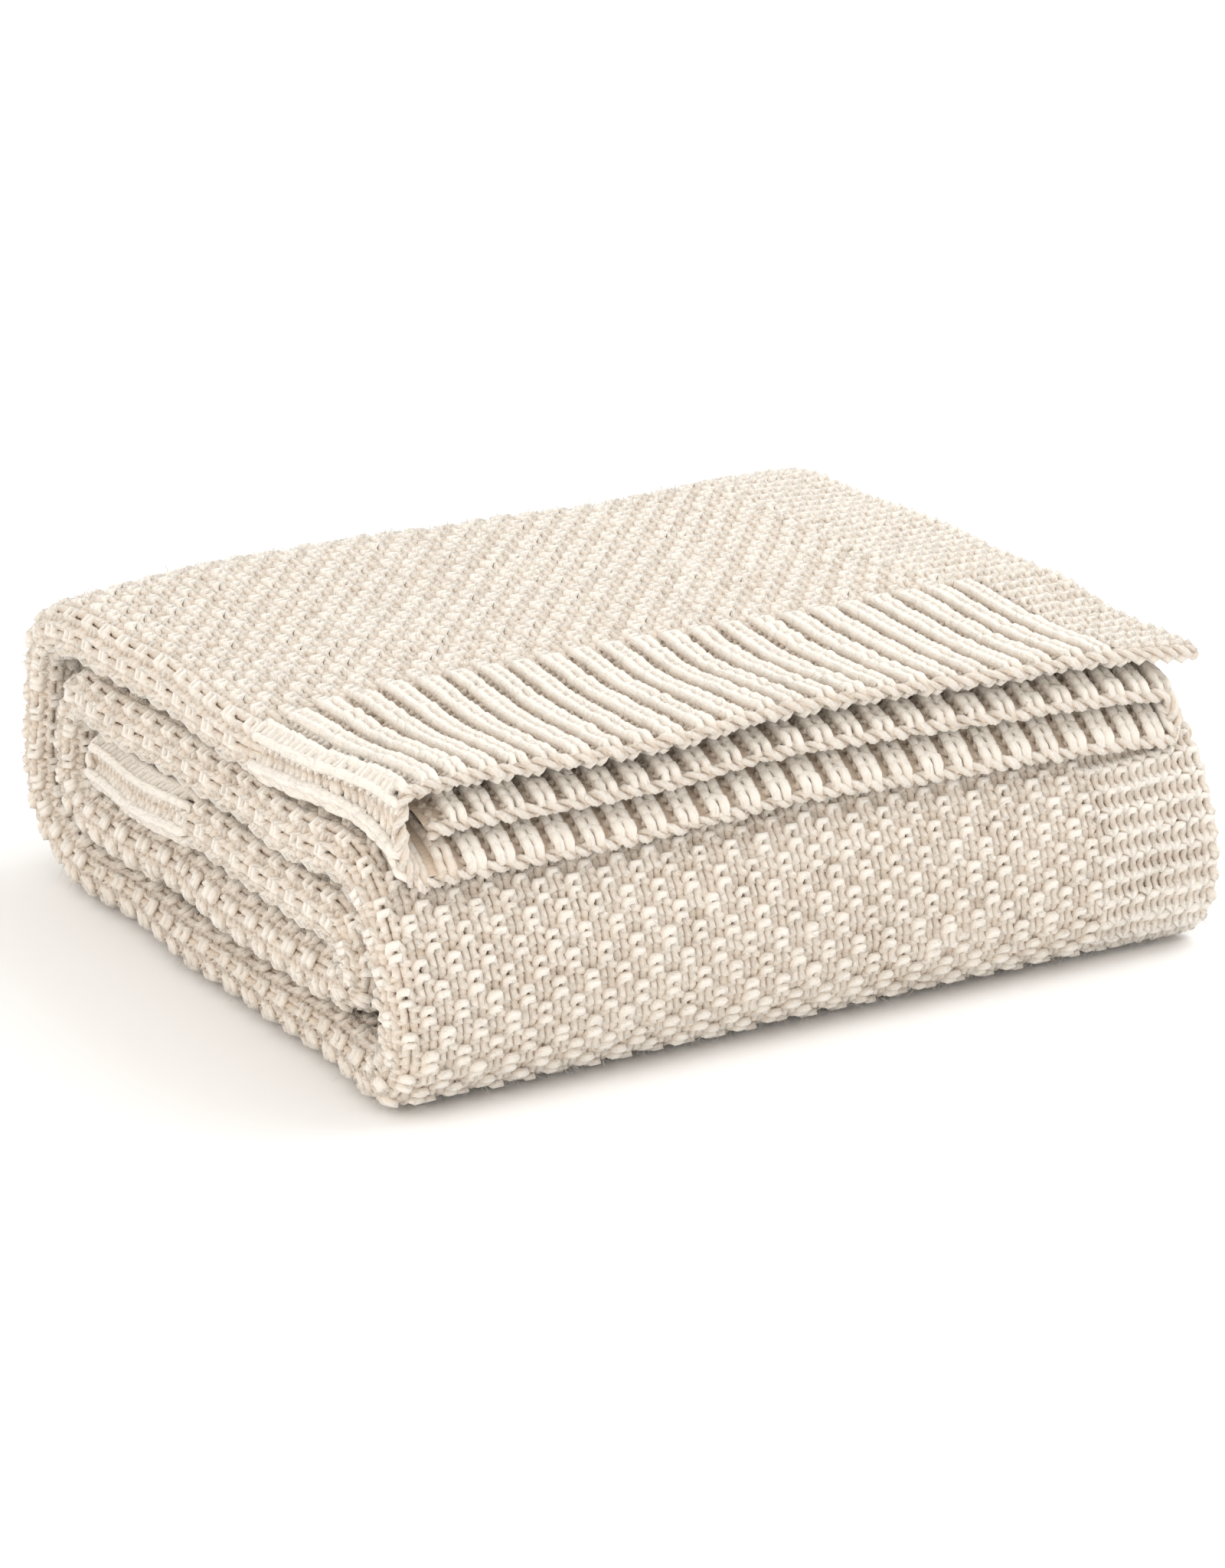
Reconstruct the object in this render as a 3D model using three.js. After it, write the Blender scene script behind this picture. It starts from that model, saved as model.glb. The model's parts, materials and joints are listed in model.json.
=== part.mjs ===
// A folded throw blanket: a knitted throw folded in thirds across its width, then rolled flat into
// five strips, each three layers thick. X runs along the hem, -Y is the front, +Z is up, and the
// origin is under the middle of the pack. Lengths are in millimetres.
import * as THREE from "three";

// Overall sizes of the folded pack.
const PACK_LENGTH = 454;
const PACK_DEPTH = 448;
// One strip is the three layers of the width fold, and the pack is five strips high.
const STRIP_COUNT = 5;
const STRIP_PITCH = 32.4;
const LAYERS_IN_STRIP = 3;
// Touching pieces keep this clearance.
const GAP = 0.3;
// Knitted borders: garter stitch along the right side, rib at both ends, and an edge cord.
const SIDE_BORDER = 62;
const RIB_BORDER = 110;
const EDGE_WIDTH = 9;
// The top hem stops this far behind the front of the pack, and each layer under it comes further out.
const HEM_INSET = 30;
const HEM_STEP = 4;
const HEM_LEFT_INSET = 12;
const HEM_RIGHT_INSET = 2;
// The front fold sags: it is deepest low down, and the slack inside it leaves a hollow.
const FRONT_FOLD_REACH = 75;
const FRONT_FOLD_UNDERCUT = 32;
const FRONT_FOLD_WIDEST = 36;
const FRONT_HOLLOW = 10;
// The inner back fold stops this far short of the outer one.
const BACK_HOLLOW = 12;
// The back fold opens at two corners, this far round the fold from the level of its middle.
const CORNER_ANGLE = 45;
const ARC_STEP = 7.5;

const STRIP_THICKNESS = STRIP_PITCH - GAP;
const LAYER_PITCH = STRIP_PITCH / LAYERS_IN_STRIP;
const LAYER_THICKNESS = LAYER_PITCH - GAP;
const LEFT = -PACK_LENGTH / 2;
const RIGHT = PACK_LENGTH / 2;
const SIDE_LINE = RIGHT - SIDE_BORDER;
const FRONT = -PACK_DEPTH / 2;
const FRONT_CENTRE = FRONT + FRONT_FOLD_REACH;
const BACK_RADIUS = (STRIP_COUNT * STRIP_PITCH - GAP) / 2;
const BACK_CENTRE = PACK_DEPTH / 2 - BACK_RADIUS;
const INNER_BACK_CENTRE = BACK_CENTRE - BACK_HOLLOW;
const HEM_FRONT = FRONT + HEM_INSET;
const RIB_LINE = HEM_FRONT + EDGE_WIDTH + RIB_BORDER;

const creamKnit = new THREE.MeshStandardMaterial({ color: 0xf0e7da, roughness: 0.95, metalness: 0 });
const creamRib = new THREE.MeshStandardMaterial({ color: 0xefe4d5, roughness: 0.95, metalness: 0 });
const creamEdge = new THREE.MeshStandardMaterial({ color: 0xe9dcca, roughness: 0.95, metalness: 0 });

const throwBlanket = new THREE.Group();

const stripBottom = (strip) => strip * STRIP_PITCH;
const stripTop = (strip) => stripBottom(strip) + STRIP_THICKNESS;

// An outline is a list of [y, z] points, and a piece is that outline carried along X.
function piece(name, outline, material, fromX = LEFT, toX = RIGHT) {
  const shape = new THREE.Shape(outline.map(([y, z]) => new THREE.Vector2(y, z)));
  const geometry = new THREE.ExtrudeGeometry(shape, { depth: toX - fromX, bevelEnabled: false });
  const alongX = new THREE.Matrix4().makeBasis(
    new THREE.Vector3(0, 1, 0),
    new THREE.Vector3(0, 0, 1),
    new THREE.Vector3(1, 0, 0),
  );
  geometry.applyMatrix4(alongX);
  const mesh = new THREE.Mesh(geometry, material);
  mesh.name = name;
  mesh.position.x = fromX;
  throwBlanket.add(mesh);
}

// A field piece with its own stretch of the garter border at the right.
function pieceWithSideBorder(name, outline) {
  piece(name, outline, creamKnit, LEFT, SIDE_LINE - GAP);
  piece(`${name}_side_border`, outline, creamRib, SIDE_LINE, RIGHT);
}

function slab(fromY, toY, bottom, top) {
  return [
    [fromY, bottom],
    [toY, bottom],
    [toY, top],
    [fromY, top],
  ];
}

const stripSlab = (strip, fromY, toY) => slab(fromY, toY, stripBottom(strip), stripTop(strip));

// Points of an elliptic arc round [y, z], from one angle to another in degrees, 0 being +Y.
function arc([y, z], reachY, reachZ, from, to) {
  const steps = Math.max(2, Math.round(Math.abs(to - from) / ARC_STEP));
  return Array.from({ length: steps + 1 }, (_, i) => {
    const angle = THREE.MathUtils.degToRad(from + ((to - from) * i) / steps);
    return [y + reachY * Math.cos(angle), z + reachZ * Math.sin(angle)];
  });
}

// A length of a round fold between two angles.
function bentStrip(centre, radius, from, to) {
  const inner = radius - STRIP_THICKNESS;
  return [...arc(centre, radius, radius, from, to), ...arc(centre, inner, inner, to, from)];
}

const packMiddle = BACK_RADIUS;
const backCentre = [BACK_CENTRE, packMiddle];
const clearAngle = THREE.MathUtils.radToDeg(GAP / (BACK_RADIUS - STRIP_THICKNESS)) / 2;

// Outer wrap: the bottom strip, the round back fold in three lengths, and the top strip.
function outerWrap() {
  pieceWithSideBorder("bottom_panel", stripSlab(0, FRONT_CENTRE + GAP, BACK_CENTRE - GAP));
  const lower = bentStrip(backCentre, BACK_RADIUS, -90, -CORNER_ANGLE - clearAngle);
  const middle = bentStrip(backCentre, BACK_RADIUS, -CORNER_ANGLE + clearAngle, CORNER_ANGLE - clearAngle);
  const upper = bentStrip(backCentre, BACK_RADIUS, CORNER_ANGLE + clearAngle, 90);
  pieceWithSideBorder("lower_back_fold", lower);
  pieceWithSideBorder("back_fold", middle);
  pieceWithSideBorder("upper_back_fold", upper);
  pieceWithSideBorder("top_panel", stripSlab(STRIP_COUNT - 1, RIB_LINE, BACK_CENTRE - GAP));
}

// The sagging front fold joins the bottom strip to the second strip down.
function frontFold() {
  const top = stripTop(3);
  const middle = (stripTop(0) + stripBottom(3)) / 2;
  const hollowHeight = (stripBottom(3) - stripTop(0)) / 2;
  const hollowReach = FRONT_FOLD_REACH - STRIP_THICKNESS;
  const undercutCentre = [FRONT + FRONT_FOLD_UNDERCUT, FRONT_FOLD_WIDEST];
  pieceWithSideBorder("front_fold", [
    ...arc([FRONT_CENTRE, FRONT_FOLD_WIDEST], FRONT_FOLD_REACH, top - FRONT_FOLD_WIDEST, 90, 180),
    ...arc(undercutCentre, FRONT_FOLD_UNDERCUT, FRONT_FOLD_WIDEST, 180, 270).slice(1),
    [FRONT_CENTRE, 0],
    ...arc([FRONT_CENTRE, middle], hollowReach, hollowHeight, 270, 90),
  ]);
}

// Inner wrap: second strip, inner back fold, fourth strip, inner front fold and the core strip.
function innerWrap() {
  const innerCentre = [INNER_BACK_CENTRE, packMiddle];
  const innerRadius = BACK_RADIUS - STRIP_PITCH;
  piece("second_panel", stripSlab(3, FRONT_CENTRE + GAP, INNER_BACK_CENTRE - GAP), creamKnit);
  piece("inner_back_fold", bentStrip(innerCentre, innerRadius, -90, 90), creamKnit);
  piece("fourth_panel", stripSlab(1, FRONT_CENTRE + GAP, INNER_BACK_CENTRE - GAP), creamKnit);
  const reach = FRONT_FOLD_REACH - STRIP_THICKNESS - FRONT_HOLLOW;
  const half = (stripTop(2) - stripBottom(1)) / 2;
  const middle = (stripTop(2) + stripBottom(1)) / 2;
  piece("inner_front_fold", arc([FRONT_CENTRE, middle], reach, half, 90, 270), creamKnit);
  const edgeLine = INNER_BACK_CENTRE - EDGE_WIDTH;
  const ribLine = edgeLine - RIB_BORDER;
  piece("core_panel", stripSlab(2, FRONT_CENTRE + GAP, ribLine - GAP), creamKnit);
  piece("inner_hem_rib", stripSlab(2, ribLine, edgeLine - GAP), creamRib);
  piece("inner_hem_edge", stripSlab(2, edgeLine, INNER_BACK_CENTRE), creamEdge);
}

// Top hem: three layers of ribbing, each with its own edge cord, stepping out from top to bottom.
function topHem() {
  const fromX = LEFT + HEM_LEFT_INSET;
  const toX = RIGHT - HEM_RIGHT_INSET;
  ["lower", "middle", "upper"].forEach((layer, i) => {
    const bottom = stripBottom(STRIP_COUNT - 1) + i * LAYER_PITCH;
    const top = bottom + LAYER_THICKNESS;
    const front = HEM_FRONT - (LAYERS_IN_STRIP - 1 - i) * HEM_STEP;
    const rib = slab(front + EDGE_WIDTH + GAP, RIB_LINE - GAP, bottom, top);
    const cord = arc([front + EDGE_WIDTH / 2, (bottom + top) / 2], EDGE_WIDTH / 2, LAYER_THICKNESS / 2, 0, 330);
    piece(`${layer}_hem_rib`, rib, creamRib, fromX, toX);
    piece(`${layer}_hem_edge`, cord, creamEdge, fromX, toX);
  });
}

outerWrap();
frontFold();
innerWrap();
topHem();

export default throwBlanket;
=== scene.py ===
import json
import math

import bpy
import numpy as np
from mathutils import Matrix, Vector


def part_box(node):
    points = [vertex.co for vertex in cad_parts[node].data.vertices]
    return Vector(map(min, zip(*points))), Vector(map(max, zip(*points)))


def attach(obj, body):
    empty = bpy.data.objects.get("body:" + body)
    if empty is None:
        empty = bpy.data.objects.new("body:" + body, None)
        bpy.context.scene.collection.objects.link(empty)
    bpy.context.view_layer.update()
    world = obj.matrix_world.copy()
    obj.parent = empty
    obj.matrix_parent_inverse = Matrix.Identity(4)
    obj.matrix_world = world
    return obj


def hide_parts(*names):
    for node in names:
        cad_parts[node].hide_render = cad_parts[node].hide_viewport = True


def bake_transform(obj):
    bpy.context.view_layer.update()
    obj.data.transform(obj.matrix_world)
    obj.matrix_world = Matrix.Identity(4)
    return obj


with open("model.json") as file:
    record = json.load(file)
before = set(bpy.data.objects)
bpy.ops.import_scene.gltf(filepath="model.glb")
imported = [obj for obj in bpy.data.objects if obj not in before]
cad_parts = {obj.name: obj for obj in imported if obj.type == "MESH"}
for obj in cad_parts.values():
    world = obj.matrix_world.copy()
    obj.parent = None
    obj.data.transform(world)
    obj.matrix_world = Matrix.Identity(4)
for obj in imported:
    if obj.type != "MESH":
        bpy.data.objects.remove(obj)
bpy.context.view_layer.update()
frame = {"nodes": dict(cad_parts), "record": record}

bpy.ops.object.select_all(action="DESELECT")

MM = 0.001


def box(node):
    """A CAD node's lowest and highest corners, in millimetres."""
    low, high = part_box(node)
    return np.array(low) / MM, np.array(high) / MM


# ---------------------------------------------------------------- sizes, from the frame
pack_low = np.min([box(node)[0] for node in frame["nodes"]], axis=0)
pack_high = np.max([box(node)[1] for node in frame["nodes"]], axis=0)
PACK_LEFT, PACK_FRONT = pack_low[:2]
PACK_RIGHT, PACK_BACK, PACK_TOP = pack_high
FRONT_CENTRE = box("front_fold")[1][1]
SECOND_TOP = box("second_panel")[1][2]
FOURTH_BOTTOM = box("fourth_panel")[0][2]
CORE_TOP = box("core_panel")[1][2]
INNER_BACK_CENTRE = box("inner_hem_edge")[1][1]
INNER_FRONT_REACH = box("inner_front_fold")[1][1] - box("inner_front_fold")[0][1]
HEM_FRONT = box("upper_hem_edge")[0][1]
RIB_BORDER = box("top_panel")[0][1] - HEM_FRONT
SIDE_BORDER = box("top_panel_side_border")[1][0] - box("top_panel_side_border")[0][0]
STRIP = SECOND_TOP - CORE_TOP
LAYER = STRIP / 3
BACK_RADIUS = PACK_TOP / 2
BACK_CENTRE = PACK_BACK - BACK_RADIUS
FRONT_WIDEST = 36.0      # height at which the front fold is furthest out
FRONT_UNDERCUT = 32.0    # how far it runs back to the ground below that
BACK_FULLNESS = 2.5      # 2 is a round back fold, more is squarer

# ---------------------------------------------------------------- the knitting
STITCH = 8.44          # width of one stitch
ROW = 5.4              # height of one row
YARN = 2.5             # radius of the yarn
LOOP_RISE = 5.0        # a loop reaches this far above and below the middle of its row
LOOP_LEAN = 1.25       # how far the legs of a loop lean in at its neck
LOOP_DEPTH = 1.7       # how far the legs stand before the heads
PURL_LIFT = 1.6        # purl bumps stand out of the moss and garter by this much
CROWN_HEIGHT = 4.6     # the yarn's painted shade fades out by this height off the ground of the cloth, where it shows its own pale colour
RIB_ROUND = 3.4        # a rib stands this far above the middle of the cloth
RIB_SPREAD = 1.0       # how far the legs of a rib stitch spread
rng = np.random.default_rng(11)


def arc(centre, reach_y, reach_z, start, end, step=1.5):
    """Points of an elliptic arc, angles in degrees from +Y."""
    count = max(3, int(abs(math.radians(end - start)) * max(reach_y, reach_z) / step))
    angle = np.radians(np.linspace(start, end, count))
    return np.stack([centre[0] + reach_y * np.cos(angle), centre[1] + reach_z * np.sin(angle)], -1)


def full_arc(centre, reach_y, reach_z, start, end, power, step=1.5):
    """An arc as above with fuller shoulders, evenly spaced by angle."""
    points = arc((0, 0), 1, 1, start, end, step / max(reach_y, reach_z))
    size = (np.abs(points[:, 0]) ** power + np.abs(points[:, 1]) ** power) ** (-1 / power)
    points = points * size[:, None]
    return np.stack([centre[0] + reach_y * points[:, 0], centre[1] + reach_z * points[:, 1]], -1)


def run(from_y, to_y, z, step=1.5):
    count = max(2, int(abs(to_y - from_y) / step))
    return np.stack([np.linspace(from_y, to_y, count), np.full(count, z)], -1)


def join(stretches):
    """One line through all the stretches, and the number of the point where each of them starts."""
    starts, points = [], []
    for stretch in stretches:
        starts.append(sum(len(p) for p in points))
        points.append(stretch if not points else stretch[1:])
    return np.concatenate(points), starts


def roll_curve():
    """The outer side of the rolled strip in the YZ plane, from the top hem to the hem at the core."""
    back = (BACK_CENTRE, PACK_TOP / 2)
    inner_back = (INNER_BACK_CENTRE, PACK_TOP / 2)
    inner_radius = (SECOND_TOP - FOURTH_BOTTOM) / 2
    undercut_y = PACK_FRONT + FRONT_UNDERCUT
    core_middle = (CORE_TOP + FOURTH_BOTTOM) / 2
    core_half = (CORE_TOP - FOURTH_BOTTOM) / 2
    front_reach = FRONT_CENTRE - PACK_FRONT
    stretches = [
        run(HEM_FRONT, BACK_CENTRE, PACK_TOP),
        full_arc(back, BACK_RADIUS, BACK_RADIUS, 90, -90, BACK_FULLNESS),
        run(BACK_CENTRE, undercut_y, 0),
        arc((undercut_y, FRONT_WIDEST), FRONT_UNDERCUT, FRONT_WIDEST, 270, 180),
        arc((FRONT_CENTRE, FRONT_WIDEST), front_reach, SECOND_TOP - FRONT_WIDEST, 180, 90),
        run(FRONT_CENTRE, INNER_BACK_CENTRE, SECOND_TOP),
        full_arc(inner_back, inner_radius, inner_radius, 90, -90, BACK_FULLNESS),
        run(INNER_BACK_CENTRE, FRONT_CENTRE, FOURTH_BOTTOM),
        arc((FRONT_CENTRE, core_middle), INNER_FRONT_REACH, core_half, 270, 90),
        run(FRONT_CENTRE, INNER_BACK_CENTRE, CORE_TOP),
    ]
    return join(stretches)


def lengths(points):
    return np.r_[0, np.cumsum(np.linalg.norm(np.diff(points, axis=0), axis=1))]


def left_normals(points):
    """Unit normals on the left of the way along a plane curve, smoothed at its corners."""
    tangent = np.gradient(points, axis=0)
    tangent /= np.linalg.norm(tangent, axis=1)[:, None]
    return np.stack([-tangent[:, 1], tangent[:, 0]], -1)


ROLL, ROLL_STARTS = roll_curve()
ROLL_NORMAL = left_normals(ROLL)
OUTER_DEPTH = LAYER / 2
ROLL_S = lengths(ROLL - ROLL_NORMAL * OUTER_DEPTH)
ROLL_LENGTH = ROLL_S[-1]
# Arc length at the start of each stretch of the roll.
_, S_BACK, S_BOTTOM, S_UNDER, _, S_SECOND, _, S_FOURTH, _, _ = (ROLL_S[i] for i in ROLL_STARTS)
S_MIDDLE = (S_BACK + S_BOTTOM) / 2


def width_curve():
    """The width folded in thirds, in the plane of X and depth under the strip's outer side."""
    d = [LAYER * (k + 0.5) for k in range(3)]
    stitch_half = LAYER * 0.44
    outer_turn, inner_turn = LAYER, LAYER / 2
    left = PACK_LEFT + outer_turn + stitch_half
    right = PACK_RIGHT - inner_turn - stitch_half
    stretches = [
        run(PACK_RIGHT - 1, left, d[0], 1.0),
        arc((left, d[1]), outer_turn, outer_turn, -90, -270, 1.0),
        run(left, right, d[2], 1.0),
        arc((right, d[2] - inner_turn), inner_turn, inner_turn, 90, -90, 1.0),
        run(right, PACK_LEFT + 2 * LAYER, d[1], 1.0),
    ]
    return join(stretches)


WIDTH, WIDTH_STARTS = width_curve()
WIDTH_NORMAL = left_normals(WIDTH)
WIDTH_U = lengths(WIDTH)
FLAT_WIDTH = WIDTH_U[-1]
_, U_LEFT_TURN, U_INNER, U_RIGHT_TURN, U_MIDDLE = (WIDTH_U[i] for i in WIDTH_STARTS)


def table(x, xs, rows):
    return np.stack([np.interp(x, xs, rows[:, k]) for k in range(rows.shape[1])], -1)


# The hem end of the three layers: each steps down behind the rib line, and the lower two follow
# the front fold under them. Distances are along the cloth, from the hem's edge.
HEM_REACH = 170.0
HEM_STEPS = (2.0, 6.0, 14.0)       # how far each layer comes out past the one above it
HEM_FALL = (4.0, 22.0, 40.0)       # the steepest slope of each layer, in degrees
HEM_FALL_FROM = (125.0, 64.0, 64.0)
HEM_FALL_WIDTH = 28.0              # the top layer is steep over about this much of its length
HEM_SLOPE = 0.8                    # the whole top layer falls by this many degrees besides
HEM_CURL = 5.0                     # and its edge curls up again by this angle
HEM_PULL = 13.0                    # the left corner of the hem is pulled in by this much
HEM_LOOSE = 55.0                   # the hem's waves fade over this distance from its edge
END_FROM = 0.3                     # the ends of the pack start at this share of its half length


def hem_slope(layer, s):
    """Downward slope of layer 0, 1 or 2 at a distance s from its edge, in radians."""
    start = HEM_FALL_FROM[layer]
    if layer == 0:
        slope = HEM_FALL[0] * np.exp(-(((s - start * 0.72) / HEM_FALL_WIDTH) ** 2))
        slope -= HEM_CURL * np.exp(-s / 9.0)
        slope += HEM_SLOPE * np.clip((start - s) / 20, 0, 1)
    else:
        slope = HEM_FALL[layer] * np.clip(1 - s / start, 0, 1)
    return np.radians(slope)


def hem_paths():
    """Path of the hem end for each layer: y, z and slope at whole millimetres from the edge."""
    s = np.arange(-4.0, HEM_REACH + 1)
    paths = []
    for layer in range(3):
        slope = hem_slope(layer, s)
        stretch = 1 + HEM_STEPS[layer] / HEM_REACH
        y = np.cumsum(np.cos(slope)[::-1])[::-1] * stretch
        z = np.cumsum(np.sin(slope)[::-1])[::-1] * stretch
        paths.append(np.stack([-(y - y[-1]), -(z - z[-1]), slope], -1))
    return s, np.array(paths)


HEM_S, HEM_PATHS = hem_paths()


def soft_noise(x, y, z, scale, seed):
    """Smooth pseudo-random waves between about -1 and 1."""
    waves = np.random.default_rng(seed)
    total = np.zeros_like(x)
    for _ in range(5):
        k = waves.normal(size=3)
        k *= 2 * math.pi / (scale * np.linalg.norm(k)) * waves.uniform(0.7, 1.4)
        total += np.sin(k[0] * x + k[1] * y + k[2] * z + waves.uniform(0, 6.28))
    return total / 2.5


def cloth(u, s):
    """Middle of the cloth and its outward normal at u across the width and s along the length."""
    u, s = np.broadcast_arrays(np.asarray(u, float), np.asarray(s, float))
    shape = u.shape
    u, s = u.ravel(), s.ravel()
    x, depth = table(u, WIDTH_U, WIDTH).T
    nx, nd = table(u, WIDTH_U, WIDTH_NORMAL).T
    length = np.maximum(np.hypot(nx, nd), 1e-6)
    nx, nd = nx / length, nd / length
    flat_s = np.maximum(s, HEM_REACH)
    point = table(flat_s, ROLL_S, ROLL)
    out = table(flat_s, ROLL_S, ROLL_NORMAL)
    out /= np.linalg.norm(out, axis=1)[:, None]
    point = point - out * depth[:, None]
    layer = np.clip(depth / LAYER - 0.5, 0, 2)
    paths = [table(np.minimum(s, HEM_REACH), HEM_S, path) for path in HEM_PATHS]
    path = sum(np.clip(1 - np.abs(layer - k), 0, 1)[:, None] * paths[k] for k in range(3))
    near_hem = s < HEM_REACH
    y = point[:, 0] + np.where(near_hem, path[:, 0], 0)
    z = point[:, 1] + np.where(near_hem, path[:, 1], 0)
    ny = np.where(near_hem, -np.sin(path[:, 2]), out[:, 0])
    nz = np.where(near_hem, np.cos(path[:, 2]), out[:, 1])
    # The left end is pulled in at the hem, the folded ends bulge, and the hem's tip points right.
    hem_near = np.exp(-((s / HEM_LOOSE) ** 2))
    end_start, end_depth = PACK_RIGHT * END_FROM, PACK_RIGHT * (1 - END_FROM)
    left_end, right_end = (np.clip((side * x - end_start) / end_depth, 0, 1) ** 2 for side in (-1, 1))
    ripple = 1.6 * np.sin(s / 31.0) + 1.2 * np.sin(s / 17.0 + 1.3)
    x = x + left_end * (HEM_PULL * hem_near - 1.5 + ripple)
    x = x + right_end * np.where(layer > 0.5, -10 * hem_near, 4 * hem_near + ripple)
    # The edge waves a little along the width.
    y = y + hem_near * 2.5 * np.sin(x / 38.0 + 0.6) * (1 - 0.4 * layer)
    z = z + hem_near * (1.2 * np.sin(x / 27.0 + 2.0) - 5.0 * right_end)
    p = np.stack([x, y, z], -1)
    n = np.stack([nx, -nd * ny, -nd * nz], -1)
    p = settle(p)
    return p.reshape(shape + (3,)), n.reshape(shape + (3,))


def settle(p):
    """The slack of a soft pack: slow waves, and ends that sink a little."""
    x, y, z = p.T
    high = np.clip(z / PACK_TOP, 0, 1)
    wave = soft_noise(x, y, z, 190.0, 3)
    wave_2 = soft_noise(x, y, z, 90.0, 5)
    ends = (np.abs(x) / PACK_RIGHT) ** 4
    left = np.clip((-x - PACK_RIGHT * 0.62) / (PACK_RIGHT * 0.38), 0, 1.1) ** 2
    z = z + high * (1.6 * wave + 0.7 * wave_2 + 1.5 - 3.0 * ends - 4.0 * left)
    y = y + 1.5 * soft_noise(x, y * 0.3, z, 170.0, 8) * high
    return np.stack([x, y, z], -1)


# ---------------------------------------------------------------- stitches
GARTER_COLUMNS = round(SIDE_BORDER / STITCH) + 1
GARTER_AT_RIB = GARTER_COLUMNS - 3
LAST_ROW = int(ROLL_LENGTH / ROW)
RIB_ROWS = int(RIB_BORDER / ROW)


def is_knit(column, row):
    """Whether a stitch shows its knit face, and whether it is in a rib.

    The field is double moss, the two hems are 1x1 rib and the raw side has a garter border.
    """
    rib = (row < RIB_ROWS) | (row > LAST_ROW - RIB_ROWS)
    garter = column < np.where(rib, GARTER_AT_RIB, GARTER_COLUMNS)
    moss = (column + row // 2) % 2 == 0
    return np.where(garter, row % 2 == 0, np.where(rib, column % 2 == 0, moss)), rib & ~garter


def yarn_rows(rows, first, last, steps):
    """Paths of the yarn of some rows, from column first to column last: places across, along and off the
    cloth, and thickness.
    """
    columns = last - first
    t = np.linspace(0, columns, columns * steps + 1)
    column = np.minimum(t.astype(int), columns - 1)
    phase = (t - column) * 2 * math.pi
    row, col = np.meshgrid(rows, column + first, indexing="ij")
    knit, rib = is_knit(col, row)
    sign = np.where(knit, 1.0, -1.0)
    ease = (t - column)[None]
    near = np.where(ease < 0.5, col - 1, col + 1)
    near_sign = np.where(is_knit(near, row)[0], 1.0, -1.0)
    edge = np.minimum(ease, 1 - ease)
    mix = 0.5 + 0.5 * np.clip(edge / 0.16, 0, 1)
    sign = sign * mix + near_sign * (1 - mix)
    jitter = rng.normal(size=(3, len(rows), columns + 2))
    spot = np.stack([[np.interp(t, np.arange(columns + 2) - 0.5, j) for j in layer] for layer in jitter])
    place = t[None] + first
    wave = np.cos(math.pi * (place - 0.5))
    wave = np.sign(wave) * np.abs(wave) ** 0.6
    u = place * STITCH + LOOP_LEAN * np.sin(2 * phase)[None] - np.where(rib, RIB_SPREAD * np.sin(phase), 0)
    s = (rows[:, None] + 0.5) * ROW - LOOP_RISE * np.cos(phase)[None] + 0.55 * spot[0]
    depth = np.where(rib, LOOP_DEPTH * 0.55, LOOP_DEPTH)
    w = -sign * depth * np.cos(2 * phase)[None] + 0.38 * spot[1]
    w = w + np.where(rib, RIB_ROUND * wave, -PURL_LIFT * sign)
    thick = 1 + 0.09 * spot[2] + np.where(rib, 0.1, 0)
    return u, s, w, thick


def tube(points, normal, radius, sides):
    """Rings of a tube round each path in points (paths, places, 3)."""
    tangent = np.gradient(points, axis=1)
    tangent /= np.linalg.norm(tangent, axis=2)[..., None]
    side = np.cross(tangent, normal)
    side /= np.maximum(np.linalg.norm(side, axis=2), 1e-9)[..., None]
    up = np.cross(side, tangent)
    angle = np.arange(sides) * 2 * math.pi / sides + math.pi
    ring = (np.cos(angle)[:, None] * up[:, :, None] + np.sin(angle)[:, None] * side[:, :, None])
    offset = ring * radius[:, :, None, None]
    return points[:, :, None] + offset, np.sum(offset * normal[:, :, None], axis=-1)


def set_painted_shade_relief(mesh, height):
    """How far each point stands off the ground of the cloth, 0 in the gaps and 1 on the crowns: the mask of
    the painted shade, which is strongest in the gaps.
    """
    painted_shade_relief = mesh.attributes.new("painted_shade_relief", "FLOAT", "POINT")
    painted_shade_relief.data.foreach_set("value", np.clip(np.abs(height) / CROWN_HEIGHT, 0, 1).astype(np.float32).ravel())


def add_piece(name, mesh, material):
    mesh.materials.append(material)
    piece = bpy.data.objects.new(name, mesh)
    bpy.context.scene.collection.objects.link(piece)
    return piece


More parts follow.
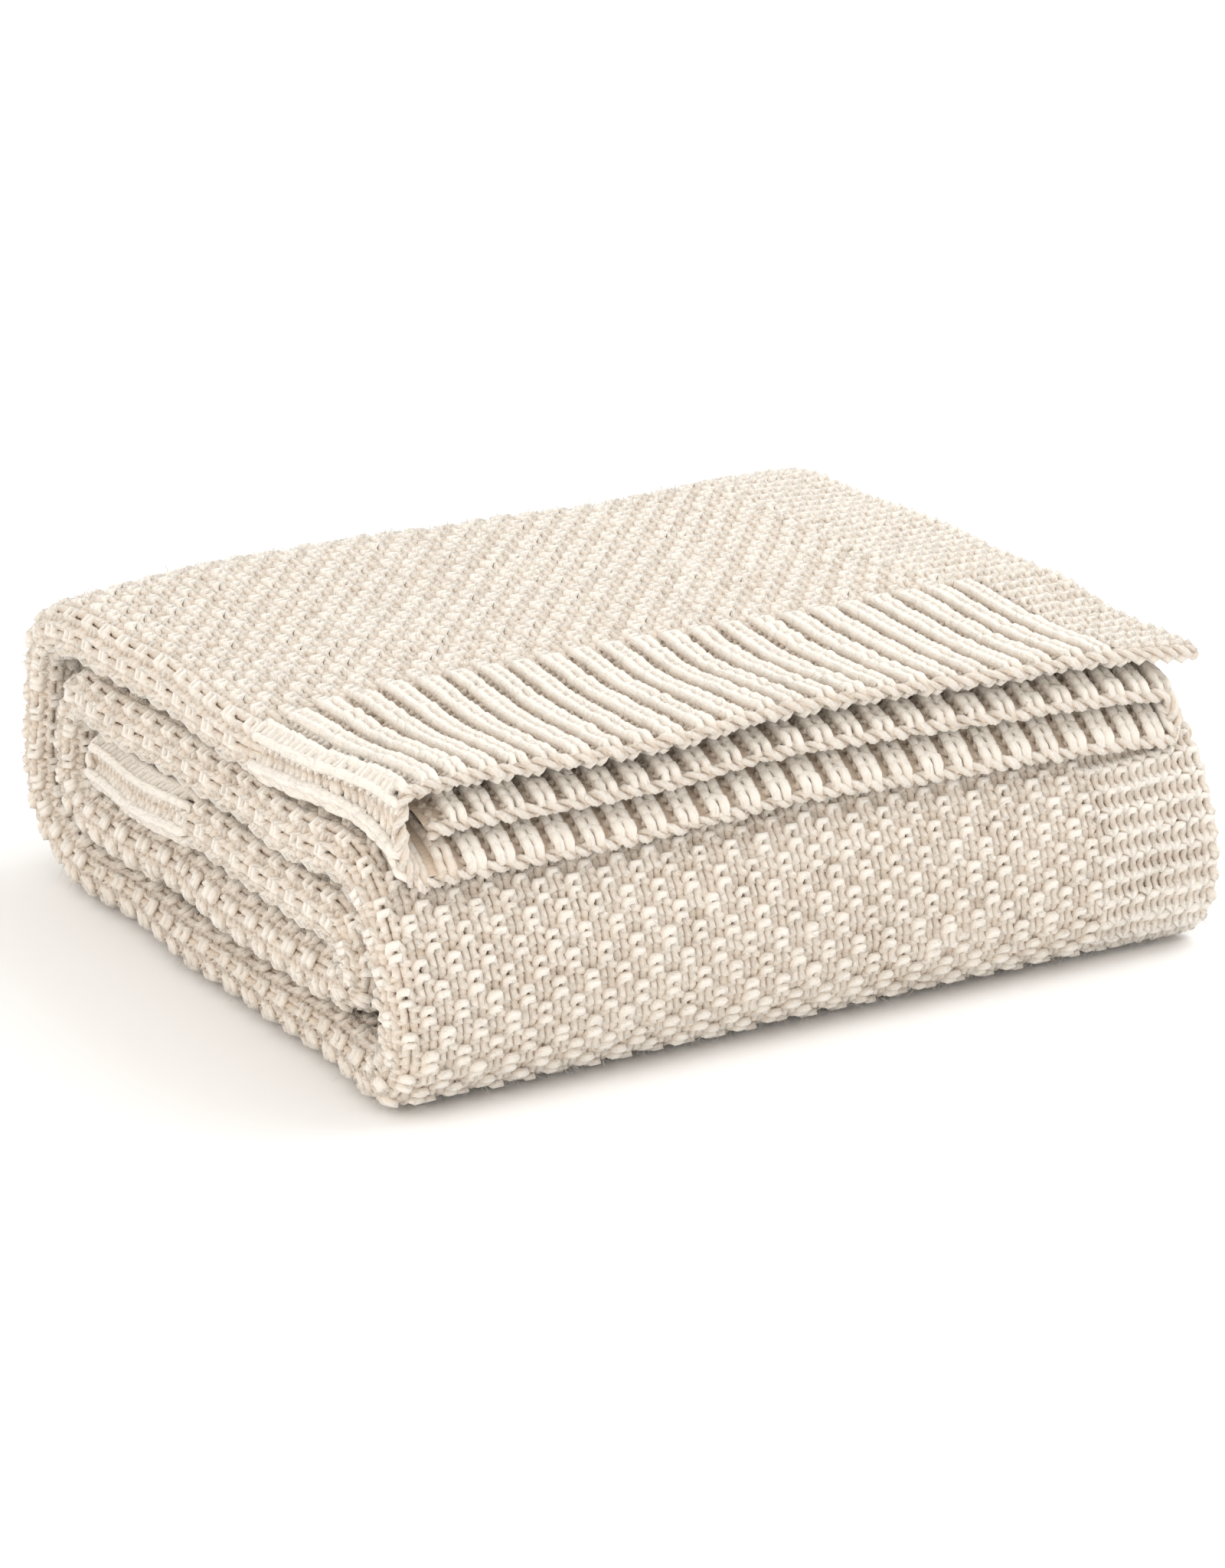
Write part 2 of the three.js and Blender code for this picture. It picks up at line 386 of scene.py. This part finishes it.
def tube_mesh(name, rings, height, along, material):
    """One mesh from the rings of many tubes (paths, places, sides, 3), with its ends closed."""
    paths, places, sides, _ = rings.shape
    verts = rings.reshape(-1, 3) * MM
    verts[:, 2] = np.maximum(verts[:, 2], 0)
    index = np.arange(paths * places * sides).reshape(paths, places, sides)
    turn = np.roll(index, -1, axis=2)
    quads = np.stack([index[:, :-1], index[:, 1:], turn[:, 1:], turn[:, :-1]], -1).reshape(-1, 4)
    starts = index[:, 0, :]
    ends = index[:, -1, ::-1]
    loops = np.concatenate([quads.ravel(), starts.ravel(), ends.ravel()])
    counts = np.concatenate([np.full(len(quads), 4), np.full(2 * paths, sides)])
    mesh = bpy.data.meshes.new(name)
    mesh.vertices.add(len(verts))
    mesh.vertices.foreach_set("co", verts.ravel())
    mesh.loops.add(len(loops))
    mesh.loops.foreach_set("vertex_index", loops.astype(np.int32))
    mesh.polygons.add(len(counts))
    mesh.polygons.foreach_set("loop_start", np.r_[0, np.cumsum(counts)[:-1]].astype(np.int32))
    mesh.polygons.foreach_set("loop_total", counts.astype(np.int32))
    mesh.update(calc_edges=True)
    mesh.validate()
    mesh.shade_smooth()
    set_painted_shade_relief(mesh, height)
    uv = mesh.uv_layers.new(name="yarn")
    a = np.broadcast_to(along[:, :, None], (paths, places, sides))
    b = np.broadcast_to(np.arange(sides) / sides, (paths, places, sides))
    b_next = np.broadcast_to((np.arange(sides) + 1) / sides, (paths, places, sides))
    u = np.stack([a[:, :-1], a[:, 1:], a[:, 1:], a[:, :-1]], -1).reshape(-1)
    v = np.stack([b[:, :-1], b[:, 1:], b_next[:, 1:], b_next[:, :-1]], -1).reshape(-1)
    caps = np.concatenate([a[:, 0].ravel(), a[:, -1].ravel()])
    caps_v = np.concatenate([b[:, 0].ravel(), b[:, -1, ::-1].ravel()])
    values = np.stack([np.r_[u, caps], np.r_[v, caps_v]], -1)
    uv.data.foreach_set("uv", values.ravel().astype(np.float32))
    return add_piece(name, mesh, material)


TURN_DEPTH = 2.8       # the ground of a hem lies this much deeper round its left turn
TURN_MARGIN = 24.0     # and this far past both ends of the turn


def left_turn(u, s):
    """1 round the left turn of a hem, where the ribs spread and their ground lies deeper, else 0."""
    near = np.clip(np.minimum(u - U_LEFT_TURN + TURN_MARGIN, U_INNER + TURN_MARGIN - u) / 8, 0, 1)
    return near * ((s < RIB_BORDER) | (s > ROLL_LENGTH - RIB_BORDER))


def stitches(name, first_row, last_row, first, last, material, steps, sides):
    """Knitted stitches over a stretch of the cloth, as one mesh."""
    rows = np.arange(first_row, last_row)
    u, s, w, thick = yarn_rows(rows, first, last, steps)
    u = np.clip(u, 0.5, FLAT_WIDTH - 0.5)
    s = np.clip(s, -1.0, ROLL_LENGTH + 1.0)
    centre, normal = cloth(u, s)
    points = centre + normal * w[..., None]
    along = np.concatenate([np.zeros((len(rows), 1)), np.cumsum(
        np.linalg.norm(np.diff(points, axis=1), axis=2), axis=1)], axis=1)
    along = along / (2 * math.pi * YARN) + rng.uniform(0, 9, (len(rows), 1))
    rings, lift = tube(points, normal, YARN * thick, sides)
    # How far the yarn stands off the ground, which lies deeper round the left turn; this sets the yarn's
    # painted shade.
    height = w + TURN_DEPTH * left_turn(u, s)
    return tube_mesh(name, rings, height[..., None] + lift, along, material)


CORD_PLACES = 9        # points in one turn of a cord's strand
CORD_SIDES = 6
CORD_LUMPS = 0.17      # how uneven its strands are
LUMP_SPACING = 7.0


def edge_cord(name, along_u, along_s, off_u, off_s, material, pitch, coil, radius, strands):
    """A cord of coiled yarn bound over an edge, off_u and off_s pointing off the cloth."""
    u, s = np.broadcast_arrays(np.asarray(along_u, float), np.asarray(along_s, float))
    centre, normal = cloth(u, s)
    inside, _ = cloth(u - 3 * off_u, s - 3 * off_s)
    away = centre - inside
    away /= np.linalg.norm(away, axis=1)[:, None]
    distance = lengths(centre)
    places = np.linspace(0, distance[-1], int(distance[-1] / pitch * CORD_PLACES))
    centre, normal, away = (table(places, distance, rows) for rows in (centre, normal, away))
    strand = np.arange(strands)[:, None] * 2 * math.pi / strands
    angle = (places[None] / pitch * 2 * math.pi + strand + 0.5 * np.sin(places[None] / 13.0))[..., None]
    knots = rng.normal(size=(strands, int(distance[-1] / LUMP_SPACING) + 2))
    knot_places = np.linspace(0, distance[-1], knots.shape[1])
    lump = 1 + CORD_LUMPS * np.stack([np.interp(places, knot_places, knot) for knot in knots])
    wind = away[None] * np.cos(angle) + normal[None] * np.sin(angle)
    points = centre[None] + wind * (coil * lump)[..., None]
    along = np.stack([lengths(path) for path in points]) / (2 * math.pi * radius)
    rings, lift = tube(points, wind, radius * lump, CORD_SIDES)
    # The side of each strand that faces the cord's core takes painted shade.
    return tube_mesh(name, rings, coil + lift, along, material)


# ---------------------------------------------------------------- materials
def add_node(nodes, kind, inputs):
    node = nodes.new(kind)
    for name, value in inputs.items():
        node.inputs[name].default_value = value
    return node


def yarn_material(name, crown, patchy, painted_shade_colour):
    """Soft plied yarn with fibres twisted along the strand, in its own pale cream on the crowns, with
    painted shade: darker and warmer in the gaps between the stitches.
    """
    mat = bpy.data.materials.new(name)
    mat.use_nodes = True
    nodes, links = mat.node_tree.nodes, mat.node_tree.links
    shader = nodes["Principled BSDF"]
    shader.inputs["Roughness"].default_value = 0.92
    shader.inputs["Sheen Weight"].default_value = 0.3
    shader.inputs["Sheen Roughness"].default_value = 0.5
    shader.inputs["Specular IOR Level"].default_value = 0.15
    strand = nodes.new("ShaderNodeUVMap")
    strand.uv_map = "yarn"
    place = nodes.new("ShaderNodeTexCoord")
    painted_shade_relief = nodes.new("ShaderNodeAttribute")
    painted_shade_relief.attribute_name = "painted_shade_relief"

    twist = add_node(nodes, "ShaderNodeMapping", {"Rotation": (0, 0, 0.45), "Scale": (1.6, 11.0, 1.0)})
    links.new(strand.outputs["UV"], twist.inputs["Vector"])
    fibre = add_node(nodes, "ShaderNodeTexNoise", {"Scale": 1.0, "Detail": 4.0, "Roughness": 0.65})
    links.new(twist.outputs["Vector"], fibre.inputs["Vector"])
    ply = nodes.new("ShaderNodeTexWave")
    ply.bands_direction = "DIAGONAL"
    ply.inputs["Scale"].default_value = 0.3
    ply.inputs["Distortion"].default_value = 1.2
    links.new(strand.outputs["UV"], ply.inputs["Vector"])
    lint = add_node(nodes, "ShaderNodeTexNoise", {"Scale": 900.0, "Detail": 3.0})
    links.new(place.outputs["Object"], lint.inputs["Vector"])
    patch = add_node(nodes, "ShaderNodeTexNoise", {"Scale": 45.0, "Detail": 3.0})
    links.new(place.outputs["Object"], patch.inputs["Vector"])

    tone = add_node(nodes, "ShaderNodeMixRGB", {"Color1": (*crown, 1), "Color2": (*patchy, 1)})
    links.new(patch.outputs["Fac"], tone.inputs["Fac"])
    # Fibre streaks shift how much of the painted shade each spot takes.
    streak = add_node(nodes, "ShaderNodeMapRange", {
        "From Min": 0.3, "From Max": 0.7, "To Min": -0.16, "To Max": 0.16})
    links.new(fibre.outputs["Fac"], streak.inputs["Value"])
    height = nodes.new("ShaderNodeMath")
    height.operation = "ADD"
    height.use_clamp = True
    links.new(painted_shade_relief.outputs["Fac"], height.inputs[0])
    links.new(streak.outputs["Result"], height.inputs[1])
    # Painted shade: the low places of the relief take the darker, warmer gap colour.
    painted_gap_shade = add_node(nodes, "ShaderNodeMixRGB", {"Color1": (*painted_shade_colour, 1)})
    links.new(height.outputs["Value"], painted_gap_shade.inputs["Fac"])
    links.new(tone.outputs["Color"], painted_gap_shade.inputs["Color2"])
    links.new(painted_gap_shade.outputs["Color"], shader.inputs["Base Color"])

    coarse = nodes.new("ShaderNodeMath")
    coarse.operation = "MULTIPLY_ADD"
    coarse.inputs[1].default_value = 0.35
    links.new(ply.outputs["Fac"], coarse.inputs[0])
    links.new(fibre.outputs["Fac"], coarse.inputs[2])
    fine = nodes.new("ShaderNodeMath")
    fine.operation = "MULTIPLY_ADD"
    fine.inputs[1].default_value = 0.5
    links.new(lint.outputs["Fac"], fine.inputs[0])
    links.new(coarse.outputs["Value"], fine.inputs[2])
    bump = add_node(nodes, "ShaderNodeBump", {"Strength": 0.8, "Distance": 0.0011})
    links.new(fine.outputs["Value"], bump.inputs["Height"])
    links.new(bump.outputs["Normal"], shader.inputs["Normal"])
    return mat


# The first two colours are the yarn's own cream, in random patches; the third is painted shade for the gaps.
CREAM = yarn_material("cream_yarn_painted_shade", (0.95, 0.905, 0.835), (0.92, 0.865, 0.785), (0.69, 0.565, 0.445))


# ---------------------------------------------------------------- sheets and fuzz
def sheet_mesh(name, u_values, s_values, material):
    """The ground of the cloth behind the stitches, one open sheet, coloured all over with the painted shade
    of the gaps.
    """
    u, s = np.meshgrid(u_values, s_values, indexing="ij")
    centre, normal = cloth(u, s)
    lift = -1.0 * np.clip((s - 40) / 30, 0, 1)
    lift = lift - TURN_DEPTH * left_turn(u, s)
    points = (centre + normal * lift[..., None]) * MM
    index = np.arange(u.size).reshape(u.shape)
    quads = np.stack([index[:-1, :-1], index[:-1, 1:], index[1:, 1:], index[1:, :-1]], -1).reshape(-1, 4)
    mesh = bpy.data.meshes.new(name)
    mesh.from_pydata(points.reshape(-1, 3).tolist(), [], quads.tolist())
    mesh.update()
    mesh.shade_smooth()
    # Relief 0: the whole sheet takes the painted shade colour.
    set_painted_shade_relief(mesh, np.zeros(u.size))
    uv = mesh.uv_layers.new(name="yarn")
    flat = np.stack([u.ravel(), s.ravel()], -1)[quads.ravel()] / (2 * math.pi * YARN)
    uv.data.foreach_set("uv", flat.ravel().astype(np.float32))
    return add_piece(name, mesh, material)


FIBRE_WIDTH = 0.2
FIBRE_LENGTH = (3.0, 8.0)
FIBRE_PLACES = 3       # pairs of points along one fibre
FIBRE_CLEAR = 0.3      # no fibre comes closer than this to the ground


def fuzz(name, count, u_range, s_range, material):
    """Loose fibres standing off the yarn: thin curled ribbons."""
    u = rng.uniform(*u_range, count)
    s = rng.uniform(*s_range, count)
    root, normal = cloth(u, s)
    heading = rng.normal(size=(count, 3))
    heading += normal * 0.9
    heading /= np.linalg.norm(heading, axis=1)[:, None]
    curl = np.cross(heading, rng.normal(size=(count, 3)))
    curl /= np.linalg.norm(curl, axis=1)[:, None]
    across = np.cross(heading, curl)
    reach = rng.uniform(*FIBRE_LENGTH, count)[:, None]
    bend = rng.uniform(0.2, 0.9, count)[:, None]
    start = root + normal * rng.uniform(1.6, 4.4, (count, 1))
    places = []
    for k in range(FIBRE_PLACES):
        f = k / (FIBRE_PLACES - 1)
        middle = start + heading * reach * f + curl * reach * bend * f * f
        half = across * FIBRE_WIDTH / 2 * (1 - 0.75 * f)
        places.append(np.stack([middle - half, middle + half], 1))
    points = np.stack(places, 1)
    points[..., 2] = np.maximum(points[..., 2], FIBRE_CLEAR)
    index = np.arange(count * FIBRE_PLACES * 2).reshape(count, FIBRE_PLACES, 2)
    quads = np.stack([index[:, :-1, 0], index[:, 1:, 0], index[:, 1:, 1], index[:, :-1, 1]], -1)
    mesh = bpy.data.meshes.new(name)
    mesh.from_pydata((points.reshape(-1, 3) * MM).tolist(), [], quads.reshape(-1, 4).tolist())
    mesh.update()
    mesh.uv_layers.new(name="yarn")
    # The fibres take none of the painted shade.
    set_painted_shade_relief(mesh, np.full(count * FIBRE_PLACES * 2, CROWN_HEIGHT))
    return add_piece(name, mesh, material)


# ---------------------------------------------------------------- pieces
MIDDLE_ROW = int(S_MIDDLE / ROW)
UNDER_ROW = int(S_UNDER / ROW)
SECOND_ROW = int(S_SECOND / ROW)
BACK_ROW = int(S_BACK / ROW)
BOTTOM_ROW = int(S_BOTTOM / ROW)
FOURTH_ROW = int(S_FOURTH / ROW)
HEM_ROWS = 8
WIDTH_COLUMNS = int(FLAT_WIDTH / STITCH)
LEFT_COLUMN = int((U_INNER + 25) / STITCH)
END_COLUMN = int((U_LEFT_TURN - 25) / STITCH)
FOLD_COLUMN = int((U_RIGHT_TURN - 17) / STITCH)
PAST_FOLD_COLUMN = int((U_MIDDLE + 12) / STITCH)
CLOSE = (9, 5)       # points round a stitch and sides of its yarn, where it is seen close
FAR = (5, 4)         # and on the surfaces that only an opened pack shows

# name, first and last row, first and last column, slot, detail
flap_regions = [
    ("top_hem_ribs", 0, RIB_ROWS, 0, LEFT_COLUMN, "rib_knit", CLOSE),
    ("under_hem_ribs", 0, HEM_ROWS, LEFT_COLUMN, WIDTH_COLUMNS, "rib_knit", CLOSE),
    ("top_garter", RIB_ROWS, MIDDLE_ROW, 0, GARTER_COLUMNS, "garter_knit", CLOSE),
    ("top_moss", RIB_ROWS, BACK_ROW, GARTER_COLUMNS, LEFT_COLUMN, "moss_knit", CLOSE),
    ("upper_back_moss", BACK_ROW, MIDDLE_ROW, GARTER_COLUMNS, LEFT_COLUMN, "moss_knit", CLOSE),
    ("flap_underside", HEM_ROWS, MIDDLE_ROW, LEFT_COLUMN, FOLD_COLUMN, "moss_knit", FAR),
    ("flap_right_fold", HEM_ROWS, MIDDLE_ROW, FOLD_COLUMN, PAST_FOLD_COLUMN, "moss_knit", FAR),
]
wrap_regions = [
    ("lower_back_garter", MIDDLE_ROW, UNDER_ROW, 0, GARTER_COLUMNS, "garter_knit", FAR),
    ("lower_back_moss", MIDDLE_ROW, BOTTOM_ROW, GARTER_COLUMNS, LEFT_COLUMN, "moss_knit", CLOSE),
    ("bottom_moss", BOTTOM_ROW, UNDER_ROW, GARTER_COLUMNS, LEFT_COLUMN, "moss_knit", FAR),
    ("lower_back_lining", MIDDLE_ROW, BOTTOM_ROW, LEFT_COLUMN, FOLD_COLUMN, "moss_knit", FAR),
    ("wrap_right_fold", MIDDLE_ROW, UNDER_ROW, FOLD_COLUMN, PAST_FOLD_COLUMN, "moss_knit", FAR),
]
inner_regions = [
    ("front_garter", UNDER_ROW, SECOND_ROW, 0, GARTER_COLUMNS, "garter_knit", CLOSE),
    ("front_moss", UNDER_ROW, SECOND_ROW, GARTER_COLUMNS, LEFT_COLUMN, "moss_knit", CLOSE),
    ("second_garter", SECOND_ROW, FOURTH_ROW, 0, GARTER_COLUMNS, "garter_knit", FAR),
    ("second_moss", SECOND_ROW, FOURTH_ROW, GARTER_COLUMNS, END_COLUMN, "moss_knit", FAR),
    ("inner_left_end", SECOND_ROW, LAST_ROW, END_COLUMN, LEFT_COLUMN, "moss_knit", CLOSE),
    ("inner_right_edge", FOURTH_ROW, LAST_ROW, 0, 4, "garter_knit", FAR),
    ("inner_right_fold", UNDER_ROW, LAST_ROW, FOLD_COLUMN, PAST_FOLD_COLUMN, "moss_knit", FAR),
]


def knit_regions(regions):
    """Stitch every region; returns the pieces."""
    made = []
    for name, first_row, last_row, first, last, slot, (steps, sides) in regions:
        piece = stitches(name, first_row, last_row, first, last, CREAM, steps, sides)
        made.append(piece)
    return made


flap_pieces = knit_regions(flap_regions)
wrap_pieces = knit_regions(wrap_regions)
inner_pieces = knit_regions(inner_regions)

# The hems are bound by a cord of two strands, and the side edge by one turn of yarn every two rows.
HEM_CORD = dict(pitch=2.0 * STITCH, coil=1.7, radius=2.1, strands=2)
SIDE_CORD = dict(pitch=2 * ROW, coil=1.3, radius=2.0, strands=1)
hem_u = np.linspace(1, FLAT_WIDTH - 1, 1200)


def side_s(first, last):
    return np.linspace(first, last, int((last - first) / 1.5))


flap_cords = [
    edge_cord("outer_hem_cord", hem_u, -1.5, 0, -1, CREAM, **HEM_CORD),
    edge_cord("flap_side_edge", 1.0, side_s(3, S_MIDDLE), -1, 0, CREAM, **SIDE_CORD),
]
wrap_cords = [edge_cord("wrap_side_edge", 1.0, side_s(S_MIDDLE, S_UNDER), -1, 0, CREAM, **SIDE_CORD)]
inner_cords = [
    edge_cord("inner_hem_cord", hem_u, ROLL_LENGTH, 0, 1, CREAM, **HEM_CORD),
    edge_cord("inner_side_edge", 1.0, side_s(S_UNDER, ROLL_LENGTH - 3), -1, 0, CREAM, **SIDE_CORD),
]

LEFT_U = U_INNER + 12
flap_fuzz = [
    fuzz("hem_fuzz", 9000, (0, LEFT_U), (-4, RIB_BORDER), CREAM),
    fuzz("under_hem_fuzz", 3000, (LEFT_U, FLAT_WIDTH), (-4, 30), CREAM),
    fuzz("top_fuzz", 15000, (0, LEFT_U), (RIB_BORDER, S_MIDDLE), CREAM),
]
wrap_fuzz = [fuzz("wrap_fuzz", 12000, (0, LEFT_U), (S_MIDDLE, S_UNDER), CREAM)]
inner_fuzz = [
    fuzz("front_fuzz", 14000, (0, LEFT_U), (S_UNDER, S_SECOND), CREAM),
    fuzz("end_fuzz", 9000, (U_LEFT_TURN - 12, LEFT_U), (S_SECOND, ROLL_LENGTH), CREAM),
]

across = np.linspace(0, FLAT_WIDTH, 200)
flap_cloth = sheet_mesh("flap_cloth", across, np.linspace(0, S_MIDDLE, 90), CREAM)
wrap_cloth = sheet_mesh("wrap_cloth", across, np.linspace(S_MIDDLE, S_UNDER, 90), CREAM)
inner_cloth = sheet_mesh("inner_cloth", across, np.linspace(S_UNDER, ROLL_LENGTH, 240), CREAM)

# ---------------------------------------------------------------- transforms baked, and the inner pieces moving with the base
for piece in [flap_cloth] + flap_pieces + flap_cords + flap_fuzz:
    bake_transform(piece)
for piece in [wrap_cloth] + wrap_pieces + wrap_cords + wrap_fuzz:
    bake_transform(piece)
for piece in [inner_cloth] + inner_pieces + inner_cords + inner_fuzz:
    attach(piece, "base")

bodies = frame["record"]["behaviour"]["bodies"]
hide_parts(*bodies["top_flap"])
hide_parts(*bodies["back_wall"])
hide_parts(*bodies["base"])

# ---------------------------------------------------------------- stage, light and camera
bpy.ops.mesh.primitive_plane_add(size=12, location=(0, 0, -0.0005))
floor = bpy.context.object
floor.name = "floor"
floor_mat = bpy.data.materials.new("floor_white")
floor_mat.use_nodes = True
floor_mat.node_tree.nodes["Principled BSDF"].inputs["Base Color"].default_value = (0.97, 0.97, 0.97, 1)
floor_mat.node_tree.nodes["Principled BSDF"].inputs["Roughness"].default_value = 0.9
floor.data.materials.append(floor_mat)

scene = bpy.context.scene
world = bpy.data.worlds.new("studio")
scene.world = world
world.use_nodes = True
world.node_tree.nodes["Background"].inputs["Color"].default_value = (1.0, 0.99, 0.97, 1)
world.node_tree.nodes["Background"].inputs["Strength"].default_value = 1.0


def area_light(name, place, target, size, power, colour):
    light = bpy.data.lights.new(name, "AREA")
    light.size = size
    light.energy = power
    light.color = colour
    lamp = bpy.data.objects.new(name, light)
    lamp.location = place
    lamp.rotation_euler = (Vector(target) - Vector(place)).to_track_quat("-Z", "Y").to_euler()
    scene.collection.objects.link(lamp)


area_light("key", (1.5, -0.3, 1.9), (0, 0, 0.1), 1.8, 24, (1, 1, 1))
area_light("fill", (-2.2, -1.0, 0.9), (0, 0, 0.05), 1.6, 14, (1.0, 0.88, 0.77))

CAMERA_PLACE = np.array([-1175.4, -2183.3, 895.2]) * MM
CAMERA_AZIMUTH = math.radians(-28.46)
CAMERA_ELEVATION = math.radians(18.55)
CAMERA_ROLL = math.radians(-1.455)
FOCAL = 6715.0 / 1600


def place_camera():
    camera = bpy.data.cameras.new("camera")
    camera.sensor_fit = "HORIZONTAL"
    camera.sensor_width = 36
    camera.lens = FOCAL * 36
    camera.clip_start = 0.05
    camera.clip_end = 50
    a, e, r = CAMERA_AZIMUTH, CAMERA_ELEVATION, CAMERA_ROLL
    forward = Vector((-math.sin(a) * math.cos(e), math.cos(a) * math.cos(e), -math.sin(e)))
    right = Vector((math.cos(a), math.sin(a), 0))
    up = right.cross(forward)
    side = right * math.cos(r) + up * math.sin(r)
    top = up * math.cos(r) - right * math.sin(r)
    holder = bpy.data.objects.new("camera", camera)
    turn = Matrix((side, top, -forward)).transposed().to_4x4()
    holder.matrix_world = Matrix.Translation(Vector(CAMERA_PLACE)) @ turn
    scene.collection.objects.link(holder)
    scene.camera = holder


place_camera()
scene.view_settings.view_transform = "Standard"
